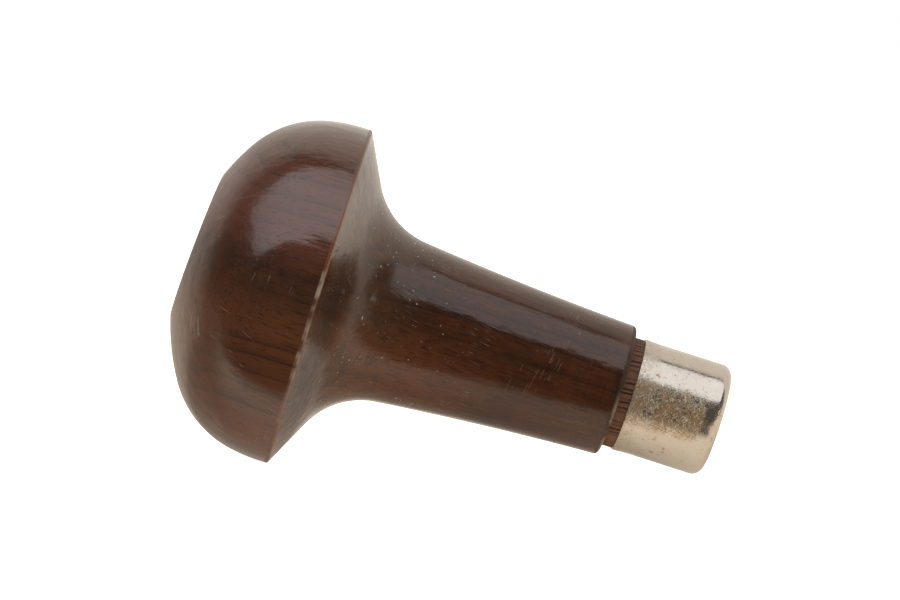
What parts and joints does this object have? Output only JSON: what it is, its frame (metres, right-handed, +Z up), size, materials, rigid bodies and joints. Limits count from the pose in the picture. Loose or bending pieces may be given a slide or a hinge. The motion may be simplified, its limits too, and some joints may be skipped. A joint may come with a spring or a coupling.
{
  "type": "lino cutter handle",
  "caption": "Mushroom-shaped turned hardwood palm handle for a lino cutter, with a plated ferrule and a spring clip socket that holds a pressed cutting nib.",
  "frame": {"origin": "on the surface that the tool lies on, under the middle of its overall box", "axes": "+Z up, +X from the head towards the ferrule. The tool's own axis lies in the XZ plane and falls 16.0 degrees towards +X, because the tool lies on the rim of its head and the nose of its ferrule"},
  "size_m": [0.071, 0.044, 0.0433],
  "materials": {
    "varnished_hardwood": "satin varnish, worn",
    "nickel_plated_brass": "polished nickel plate, scratched and a little tarnished",
    "drawn_steel": "drawn, dull",
    "spring_steel": "blued spring temper",
    "zinc_plated_steel": "dull zinc"
  },
  "bodies": {
    "holder": {"turned_handle": "varnished_hardwood", "ferrule": "nickel_plated_brass", "nib_socket": "drawn_steel", "clip_base": "spring_steel", "clip_screw": "zinc_plated_steel"},
    "leaf_1": {"clip_leaf_1": "spring_steel"},
    "leaf_2": {"clip_leaf_2": "spring_steel"},
    "leaf_3": {"clip_leaf_3": "spring_steel"},
    "leaf_4": {"clip_leaf_4": "spring_steel"}
  },
  "joints": [
    {"name": "leaf_1_flex", "type": "hinge", "parent": "holder", "child": "leaf_1", "pos_m": [0.01802, 0.002, 0.0132], "axis": [-0.195, 0.7071, -0.6797], "range_deg": [0, 5], "stiffness_Nm_per_rad": 1.2},
    {"name": "leaf_2_flex", "type": "hinge", "parent": "holder", "child": "leaf_2", "pos_m": [0.01691, 0.002, 0.00936], "axis": [-0.195, -0.7071, -0.6797], "range_deg": [0, 5], "stiffness_Nm_per_rad": 1.2},
    {"name": "leaf_3_flex", "type": "hinge", "parent": "holder", "child": "leaf_3", "pos_m": [0.01691, -0.002, 0.00936], "axis": [0.195, -0.7071, 0.6797], "range_deg": [0, 5], "stiffness_Nm_per_rad": 1.2},
    {"name": "leaf_4_flex", "type": "hinge", "parent": "holder", "child": "leaf_4", "pos_m": [0.01802, -0.002, 0.0132], "axis": [0.195, 0.7071, 0.6797], "range_deg": [0, 5], "stiffness_Nm_per_rad": 1.2}
  ]
}
